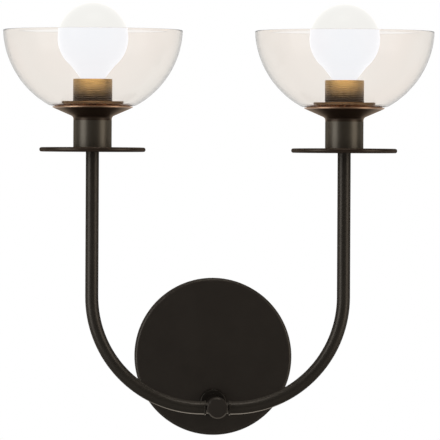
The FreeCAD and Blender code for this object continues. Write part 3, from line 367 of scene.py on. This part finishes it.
def brass_painted_lamp_glow():
    """Brass of the sleeves, turned.

    A painted glow of lamp light makes it bright amber at the mouth and where it faces the eye, fading
    to dull brown towards the foot. It has fine turning marks round it.
    """
    material, tree = new_material("turned_brass_painted_lamp_glow")
    place = node(tree, "TexCoord").outputs["Object"]
    height = node(tree, "SeparateXYZ", {"Vector": place}).outputs["Z"]
    ring_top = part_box("shade_ring_left")[1].z
    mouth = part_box("socket_sleeve_left")[1].z
    cloud = node(tree, "TexNoise", {"Vector": place, "Scale": per(GLOW_EDGE_CLOUD), "Detail": 4.0})
    uneven = node(tree, "MapRange", {
        "Value": cloud.outputs[0], "To Min": -GLOW_EDGE_UNEVEN, "To Max": GLOW_EDGE_UNEVEN})
    # Painted lamp glow: amber from just above the shade ring up to the mouth.
    glow_height = node(tree, "Math", {0: height, 1: uneven.outputs[0]}, operation="ADD")
    painted_glow = node(tree, "MapRange", {
        "Value": glow_height.outputs[0], "From Min": 0.9 * ring_top + 0.1 * mouth, "From Max": mouth},
        interpolation_type="SMOOTHSTEP")
    # Painted glow, strongest where the sleeve faces the eye.
    facing = node(tree, "LayerWeight", {"Blend": 0.5})
    painted_facing_glow = node(tree, "MapRange", {
        "Value": facing.outputs["Facing"], "From Max": 0.35, "To Min": 1.0, "To Max": 0.4})
    share = node(tree, "Math", {0: painted_glow.outputs[0], 1: painted_facing_glow.outputs[0]}, operation="MULTIPLY")
    tone = node(tree, "Mix", {
        "Factor": share.outputs[0], FIRST_COLOUR: hue("#524A42"), SECOND_COLOUR: hue("#F4CA84")},
        data_type="RGBA")
    drawn = node(tree, "Mapping", {"Vector": place, "Scale": (1.0, 1.0, TURNING_STREAK)})
    grain = node(tree, "TexNoise", {"Vector": drawn.outputs[0], "Scale": per(TURNING_MARK), "Detail": 3.0})
    bump = node(tree, "Bump", {"Height": grain.outputs[0], "Strength": 0.3, "Distance": TURNING_MARK_HEIGHT})
    skin = node(tree, "BsdfPrincipled", {
        "Base Color": tone.outputs[MIXED_COLOUR], "Metallic": 1.0, "Roughness": 0.46,
        "Normal": bump.outputs[0]})
    output(tree, skin)
    return material


def metal(name, dark, light, rough, grain_size, grain_height, streak=1.0):
    """A metal with a fine grain, which a streak above 1 draws out into marks that run round a piece."""
    material, tree = new_material(name)
    place = node(tree, "TexCoord").outputs["Object"]
    drawn = node(tree, "Mapping", {"Vector": place, "Scale": (1.0, 1.0, streak)})
    grain = node(tree, "TexNoise", {"Vector": drawn.outputs[0], "Scale": per(grain_size), "Detail": 4.0})
    cloud = node(tree, "TexNoise", {"Vector": place, "Scale": per(8 * grain_size), "Detail": 3.0})
    tone = node(tree, "Mix", {
        "Factor": cloud.outputs[0], FIRST_COLOUR: hue(dark), SECOND_COLOUR: hue(light)}, data_type="RGBA")
    gloss = node(tree, "MapRange", {
        "Value": grain.outputs[0], "To Min": rough - 0.06, "To Max": rough + 0.08})
    bump = node(tree, "Bump", {"Height": grain.outputs[0], "Strength": 0.4, "Distance": grain_height})
    skin = node(tree, "BsdfPrincipled", {
        "Base Color": tone.outputs[MIXED_COLOUR], "Metallic": 1.0, "Roughness": gloss.outputs[0],
        "Normal": bump.outputs[0]})
    output(tree, skin)
    return material


def moulded(name, dark, light, rough, ior, grain_size, grain_height):
    """A moulded or fused material that isn't metal, with a fine grain."""
    material, tree = new_material(name)
    place = node(tree, "TexCoord").outputs["Object"]
    grain = node(tree, "TexNoise", {"Vector": place, "Scale": per(grain_size), "Detail": 3.0})
    tone = node(tree, "Mix", {
        "Factor": grain.outputs[0], FIRST_COLOUR: hue(dark), SECOND_COLOUR: hue(light)}, data_type="RGBA")
    bump = node(tree, "Bump", {"Height": grain.outputs[0], "Strength": 0.4, "Distance": grain_height})
    skin = node(tree, "BsdfPrincipled", {
        "Base Color": tone.outputs[MIXED_COLOUR], "Roughness": rough, "IOR": ior,
        "Normal": bump.outputs[0]})
    output(tree, skin)
    return material


# Canopy and its screws, sprayed and baked: an even dark brown with a low satin gloss.
BRONZE = satin_bronze("baked_bronze_enamel", "#231F1C", "#292521", front=0.045, edge=0.035)

# Arms: a shade darker than the canopy as painted shade, and a painted highlight in a thin line along their
# undersides.
ARM_BRONZE = satin_bronze("bronze_enamel_painted_shade_and_underside_line", "#201D19", "#27231E", front=0.045, edge=0.025, under=0.4)

# Hub and its cap, sprayed on turned steel: a painted highlight all round their lower half, which shows on
# the cap's bevel.
HUB_BRONZE = satin_bronze("bronze_enamel_painted_lower_highlight", "#231F1C", "#292521", front=0.045, edge=0.035,
                          under=0.2, under_from=-0.30)

# Stem and its collar, nearly black with hardly any gloss: painted shade behind the hub.
STEM_BRONZE = satin_bronze("bronze_enamel_painted_shade", "#13110F", "#191613", front=0.025, edge=0.02)

# Cups: a lighter olive brown copy of the enamel, painted light, with a clear gloss towards the eye.
CUP_BRONZE = satin_bronze("bronze_enamel_painted_light", "#2D2820", "#332D25", front=0.09, edge=0.05,
                          gloss="#F4E8D4")

# Drip discs: a dark reddish brown copy of the enamel, the red painted warm lamp light.
DISC_BRONZE = satin_bronze("bronze_enamel_painted_warm_light", "#1E150F", "#251B14", front=0.05, edge=0.05,
                           gloss="#F0DCC8")

# Seat dishes: a warm dark brown, painted warm lamp light, that shines where it turns away, with a copper
# highlight painted along the edge.
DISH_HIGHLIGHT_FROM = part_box("seat_dish_left")[1].z - COPPER_HIGHLIGHT_BAND
DISH_BRONZE = satin_bronze("bronze_enamel_painted_lamp_light", "#1E1611", "#291E16", front=0.05, edge=0.34,
                           gloss="#F0D8C0", highlight_above=DISH_HIGHLIGHT_FROM)

GLASS = tinted_glass()
OPAL = opal_glass()
SLEEVE_BRASS = brass_painted_lamp_glow()

# Shade rings, turned and then aged: a dull brown gold with turning marks round it.
AGED_BRASS = metal("aged_turned_brass", "#6A5743", "#887056", rough=0.42, grain_size=TURNING_MARK,
                   grain_height=2 * TURNING_MARK_HEIGHT, streak=TURNING_STREAK)

# Hidden steel, zinc plated: a pale cool grey with a fine crystal grain.
ZINC = metal("zinc_plated_steel", "#A9ADB0", "#C3C6C9", rough=0.34, grain_size=0.8 * MM,
             grain_height=0.01 * MM)

# Earth screw, zinc dyed green: a clear mid green with a metal's shine.
GREEN_ZINC = metal("green_dyed_zinc", "#1E6B3A", "#2F8A4D", rough=0.38, grain_size=0.6 * MM,
                   grain_height=0.01 * MM)

# Screw shells and spring tongues, rolled thin: a bright yellow with faint drawing marks.
BRIGHT_BRASS = metal("rolled_brass", "#C79D4C", "#DDB765", rough=0.26, grain_size=0.5 * MM,
                     grain_height=0.008 * MM, streak=8.0)

# Lamp caps, drawn brass under nickel: a bright warm grey with faint drawing marks.
NICKEL = metal("nickel_plated_brass", "#B5B0A4", "#CCC8BE", rough=0.24, grain_size=0.5 * MM,
               grain_height=0.008 * MM, streak=8.0)

# Contact of the lamp, a drop of solder: a soft grey, slightly lumpy.
SOLDER = metal("tin_solder", "#9C9C9C", "#B9B9B8", rough=0.46, grain_size=0.9 * MM,
               grain_height=0.06 * MM)

# Lampholders, moulded phenolic: near black with a soft shine.
PHENOLIC = moulded("black_phenolic", "#100F0E", "#1C1A18", rough=0.4, ior=1.6, grain_size=0.4 * MM,
                   grain_height=0.01 * MM)

# Bead under the lamp's cap, glass fused into it: black and as smooth as a drop.
BEAD_GLASS = moulded("black_fused_glass", "#08080A", "#111115", rough=0.08, ior=1.52,
                     grain_size=1.5 * MM, grain_height=0.004 * MM)

# Gaskets, moulded silicone rubber, matt: a mid brown, lightened from their own dark tone as painted lamp
# light.
RUBBER = moulded("silicone_rubber_painted_lamp_light", "#6E4E38", "#7E5C44", rough=0.62, ior=1.41,
                 grain_size=0.3 * MM, grain_height=0.01 * MM)


# ------------------------------------------------- finishes of the CAD nodes

FINISHES = {
    "wall_bracket": ZINC, "ground_screw": GREEN_ZINC, "canopy": BRONZE,
    "stem_nipple": ZINC, "stem_nut": ZINC, "stem_washer": ZINC,
    "stem_collar": STEM_BRONZE, "stem": STEM_BRONZE,
    "hub_nipple": ZINC, "hub": HUB_BRONZE, "hub_cap": HUB_BRONZE,
}
SIDE_FINISHES = {
    "canopy_screw": BRONZE, "arm_collar": ARM_BRONZE, "arm": ARM_BRONZE,
    "drip_disc": DISC_BRONZE, "cup": CUP_BRONZE, "seat_dish": DISH_BRONZE,
    "gasket": RUBBER, "glass_bowl": GLASS, "shade_ring": AGED_BRASS, "socket_sleeve": SLEEVE_BRASS,
    "holder_nipple": ZINC, "holder_nut": ZINC, "holder_strip": ZINC,
    "lampholder": PHENOLIC, "screw_shell": BRIGHT_BRASS, "spring_tongue": BRIGHT_BRASS,
    "lamp_globe": OPAL, "lamp_cap": NICKEL, "lamp_bead": BEAD_GLASS, "lamp_button": SOLDER,
}
for kind, finish in SIDE_FINISHES.items():
    for side in SIDES:
        FINISHES["%s_%s" % (kind, side)] = finish
for name, finish in FINISHES.items():
    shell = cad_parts[name].data
    shell.materials.clear()
    shell.materials.append(finish)


# ------------------------------------------------------------ screw threads

def threaded_sleeve(side):
    """The sleeve with its outside thread, its inner shoulder and its plain foot with a floor."""
    name = "socket_sleeve_" + side
    low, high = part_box(name)
    nipple_low, nipple_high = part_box("holder_nipple_" + side)
    dish_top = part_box("seat_dish_" + side)[1].z - low.z
    tall = high.z - low.z
    hole = (nipple_high.x - nipple_low.x) / 2
    outside = (high.x - low.x) / 2
    inside = outside - SLEEVE_WALL
    root = outside - SLEEVE_THREAD
    foot = SLEEVE_FOOT / 2
    foot_in = foot - SLEEVE_FOOT_WALL
    shoulder = dish_top + SLEEVE_FOOT_WALL
    heights = levels(dish_top + SLEEVE_LEAD_LOW, tall - SLEEVE_LEAD_TOP, SLEEVE_PITCH / SLEEVE_RINGS)
    rings = [(hole, 0.0), (foot, 0.0), (foot, dish_top), (root, dish_top)]
    rings += [(outside, height, SLEEVE_THREAD) for height in heights]
    rings += [(root, tall), (inside, tall), (inside, shoulder)]
    rings += [(foot_in, shoulder), (foot_in, SLEEVE_FLOOR), (hole, SLEEVE_FLOOR)]
    mesh = turned(rings, foot_of(low, high), SLEEVE_ROUND, pitch=SLEEVE_PITCH)
    finish_piece("threaded_sleeve_" + side, mesh, SLEEVE_BRASS, "fixture", name,
                 THREAD_CREASE)


def threaded_nipple(name, along_y=False):
    """A running-thread nipple: threaded from end to end, with a plain wireway."""
    low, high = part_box(name)
    size = high - low
    outside = size.x / 2
    root = outside - NIPPLE_THREAD
    bore = NIPPLE_BORE / 2
    long = size.y if along_y else size.z
    heights = levels(NIPPLE_LEAD, long - NIPPLE_LEAD, NIPPLE_PITCH / NIPPLE_RINGS)
    rings = [(bore, 0.0), (root, 0.0)]
    rings += [(outside, height, NIPPLE_THREAD) for height in heights]
    rings += [(root, long), (bore, long)]
    centre = foot_of(low, high)
    if along_y:
        centre = Vector(((low.x + high.x) / 2, low.y, (low.z + high.z) / 2))
    mesh = turned(rings, centre, NIPPLE_ROUND, along_y=along_y, pitch=NIPPLE_PITCH)
    finish_piece("threaded_" + name, mesh, ZINC, "fixture", name, THREAD_CREASE)


def rolled_shell(name, node_name, body, material, wall, lip):
    """A thin shell with a lamp thread rolled through its wall, and a lip that flares out again."""
    low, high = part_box(node_name)
    outside = (high.x - low.x) / 2
    tall = high.z - low.z
    neck = outside - CAP_THREAD
    neck_level = tall - lip / 2
    heights = levels(CAP_PLAIN, tall - lip, CAP_PITCH / CAP_RINGS)
    rings = [(outside, 0.0)]
    rings += [(outside, height, CAP_THREAD) for height in heights]
    rings += [(neck, neck_level), (outside, tall), (outside - wall, tall), (neck - wall, neck_level)]
    rings += [(outside - wall, height, CAP_THREAD) for height in reversed(heights)]
    rings += [(outside - wall, 0.0)]
    mesh = turned(rings, foot_of(low, high), CAP_ROUND, pitch=CAP_PITCH, thread=rolled_thread)
    finish_piece(name, mesh, material, body, node_name, ROLLED_CREASE)


threaded_nipple("stem_nipple", along_y=True)
threaded_nipple("hub_nipple", along_y=True)
for side in SIDES:
    threaded_sleeve(side)
    threaded_nipple("holder_nipple_" + side)
    rolled_shell("rolled_shell_" + side, "screw_shell_" + side, "fixture", BRIGHT_BRASS,
                 SHELL_WALL, SHELL_LIP)
    rolled_shell("rolled_cap_" + side, "lamp_cap_" + side, "lamp_" + side, NICKEL,
                 CAP_WALL, CAP_LIP)


# -------------------------------------------------------------- glass bowls

def blown_bowl(side):
    """The bowl with a fire-polished rim: outside and inside curves, joined by a round edge."""
    name = "glass_bowl_" + side
    low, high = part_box(name)
    dish_low, dish_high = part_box("seat_dish_" + side)
    sleeve_low, sleeve_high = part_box("socket_sleeve_" + side)
    hole = (sleeve_high.x - sleeve_low.x) / 2 + BOWL_HOLE_PLAY
    flat = (dish_high.x - dish_low.x) / 2 + BOWL_OVER_DISH
    # The ball's centre stands fall above the corner's, and drop above the foot.
    fall = math.sqrt((BOWL_RADIUS - BOWL_CORNER) ** 2 - flat ** 2)
    drop = BOWL_CORNER + fall
    foot_tilt = math.atan2(fall, flat)
    rim_tilt = math.asin((drop - (high.z - low.z) + GLASS_WALL / 2) / BOWL_RADIUS)
    outer, inner = [], []
    for step in range(CORNER_STEPS + 1):
        tilt = math.pi / 2 - (math.pi / 2 - foot_tilt) * step / CORNER_STEPS
        for radius, chain in ((BOWL_CORNER, outer), (BOWL_CORNER - GLASS_WALL, inner)):
            chain.append((flat + radius * math.cos(tilt), BOWL_CORNER - radius * math.sin(tilt)))
    for step in range(1, BALL_STEPS + 1):
        tilt = foot_tilt + (rim_tilt - foot_tilt) * step / BALL_STEPS
        for radius, chain in ((BOWL_RADIUS, outer), (BOWL_RADIUS - GLASS_WALL, inner)):
            chain.append((radius * math.cos(tilt), drop - radius * math.sin(tilt)))
    middle = Vector(((outer[-1][0] + inner[-1][0]) / 2, (outer[-1][1] + inner[-1][1]) / 2))
    edge = []
    for step in range(1, EDGE_STEPS):
        swing = math.pi * step / EDGE_STEPS - rim_tilt
        edge.append((middle.x + GLASS_WALL / 2 * math.cos(swing),
                     middle.y + GLASS_WALL / 2 * math.sin(swing)))
    rings = [(hole, 0.0)] + outer + edge + inner[::-1] + [(hole, GLASS_WALL)]
    mesh = turned(rings, foot_of(low, high), BOWL_ROUND)
    finish_piece("blown_bowl_" + side, mesh, GLASS, "fixture", name, GLASS_CREASE)


for side in SIDES:
    blown_bowl(side)


# ------------------------------------------------------------------- studio

FLOOR_LEVEL = -0.42
FLOOR_RADIUS = 6.0
FLOOR_FADE_FROM = 1.0
FLOOR_FADE_TO = 4.0
FLOOR_BEHIND_FROM = 0.05
FLOOR_BEHIND_TO = 0.25

# Share of the floor near the sconce that is white of its own accord, and strength of the world where
# the eye doesn't see it.
FLOOR_WHITE = 0.7
WORLD_LEVEL = 0.55

# Softboxes: name, place, what they face, width, height, watts and colour.
SIDE_TARGET = Vector((0.0, -0.12, 0.12))
TOP_TARGET = Vector((0.0, -0.12, 0.10))
SOFTBOXES = (
    ("left_softbox", (-1.35, -0.85, 0.25), SIDE_TARGET, 0.9, 1.7, 12.0, "#FAFCFF"),
    ("right_softbox", (1.35, -0.85, 0.25), SIDE_TARGET, 0.9, 1.7, 9.0, "#FFF8F0"),
    ("top_softbox", (0.0, -0.55, 1.5), TOP_TARGET, 0.9, 0.6, 5.0, WHITE),
)

# Camera: place, aim, lens in millimetres and roll, matched to the photograph.
EYE = Vector((-0.145, -4.290, 0.150))
AIM = Vector((0.0016, -0.125, 0.1176))
LENS = 409.0
ROLL = math.radians(0.28)


def studio_world():
    """A white studio: the eye sees plain white, gloss meets white only behind, and the rest is even."""
    world = bpy.data.worlds.new("studio")
    world.use_nodes = True
    tree = world.node_tree
    tree.nodes.clear()
    ray = node(tree, "LightPath")
    way = node(tree, "SeparateXYZ", {"Vector": node(tree, "TexCoord").outputs["Generated"]})
    behind = node(tree, "MapRange", {
        "Value": way.outputs["Y"], "From Min": 0.2, "From Max": 0.8, "To Min": 0.04, "To Max": 1.0})
    unseen = node(tree, "Mix", {
        "Factor": ray.outputs["Is Glossy Ray"], "A": WORLD_LEVEL, "B": behind.outputs[0]})
    seen = reaches_eye(tree, ray)
    level = node(tree, "Mix", {"Factor": seen.outputs[0], "A": unseen.outputs[0], "B": 1.0})
    sky = node(tree, "Background", {"Color": hue(WHITE), "Strength": level.outputs[0]})
    node(tree, "OutputWorld", {"Surface": sky.outputs[0]})
    bpy.context.scene.world = world


def softbox(name, spot, target, wide, tall, power, colour):
    """A soft panel of light that faces its target. The eye doesn't see it, straight or through glass."""
    lamp = bpy.data.lights.new(name, "AREA")
    lamp.shape = "RECTANGLE"
    lamp.size = wide
    lamp.size_y = tall
    lamp.energy = power
    lamp.color = hue(colour)[:3]
    panel = new_object(name, lamp)
    panel.visible_camera = False
    panel.visible_transmission = False
    panel.location = spot
    panel.rotation_euler = (target - Vector(spot)).to_track_quat("-Z", "Y").to_euler()


def pale_floor():
    """A pale round floor well below, matt, which keeps the shadow and fades into the white.

    To the eye it is partly white of its own accord, fully so far away. To other rays it is a mid
    grey, and white to gloss only behind the wall, so that it throws no white onto the front.
    """
    material, tree = new_material("pale_floor")
    place = node(tree, "TexCoord").outputs["Object"]
    far = node(tree, "VectorMath", {0: place}, operation="LENGTH")
    ray = node(tree, "LightPath")
    seen = reaches_eye(tree, ray)
    near = node(tree, "Math", {0: seen.outputs[0], 1: FLOOR_WHITE}, operation="MULTIPLY")
    fade = node(tree, "MapRange", {
        "Value": far.outputs["Value"], "From Min": FLOOR_FADE_FROM, "From Max": FLOOR_FADE_TO,
        "To Min": near.outputs[0], "To Max": seen.outputs[0]})
    depth = node(tree, "SeparateXYZ", {"Vector": place}).outputs["Y"]
    behind = node(tree, "MapRange", {
        "Value": depth, "From Min": FLOOR_BEHIND_FROM, "From Max": FLOOR_BEHIND_TO, "To Min": 0.0,
        "To Max": ray.outputs["Is Glossy Ray"]})
    white_share = node(tree, "Math", {0: fade.outputs[0], 1: behind.outputs[0]}, operation="MAXIMUM")
    grain = node(tree, "TexNoise", {"Vector": place, "Scale": per(FLOOR_GRAIN), "Detail": 4.0})
    pale = node(tree, "Mix", {
        "Factor": grain.outputs[0], FIRST_COLOUR: hue("#EDECEA"), SECOND_COLOUR: hue("#F4F3F1")},
        data_type="RGBA")
    tone = node(tree, "Mix", {
        "Factor": seen.outputs[0], FIRST_COLOUR: hue("#8F8E8C"), SECOND_COLOUR: pale.outputs[MIXED_COLOUR]},
        data_type="RGBA")
    matt = node(tree, "BsdfPrincipled", {"Base Color": tone.outputs[MIXED_COLOUR], "Roughness": 0.8})
    white = node(tree, "Emission", {"Color": hue(WHITE), "Strength": 1.0})
    mixed = node(tree, "MixShader", {0: white_share.outputs[0], 1: matt.outputs[0], 2: white.outputs[0]})
    output(tree, mixed)
    disc = bmesh.new()
    bmesh.ops.create_circle(disc, cap_ends=True, segments=96, radius=FLOOR_RADIUS)
    mesh = bpy.data.meshes.new("floor")
    disc.to_mesh(mesh)
    disc.free()
    mesh.materials.append(material)
    floor = new_object("floor", mesh)
    floor.location = (0.0, 0.0, FLOOR_LEVEL)


def camera():
    """A long lens in front, a little left of the middle and a little below the drip discs."""
    lens = bpy.data.cameras.new("camera")
    lens.lens = LENS
    eye = new_object("camera", lens)
    eye.location = EYE
    level = (AIM - EYE).to_track_quat("-Z", "Y")
    eye.rotation_euler = (level @ Quaternion((0.0, 0.0, 1.0), ROLL)).to_euler()
    bpy.context.scene.camera = eye


studio_world()
for panel in SOFTBOXES:
    softbox(*panel)
pale_floor()
camera()
bpy.context.scene.view_settings.view_transform = "Standard"
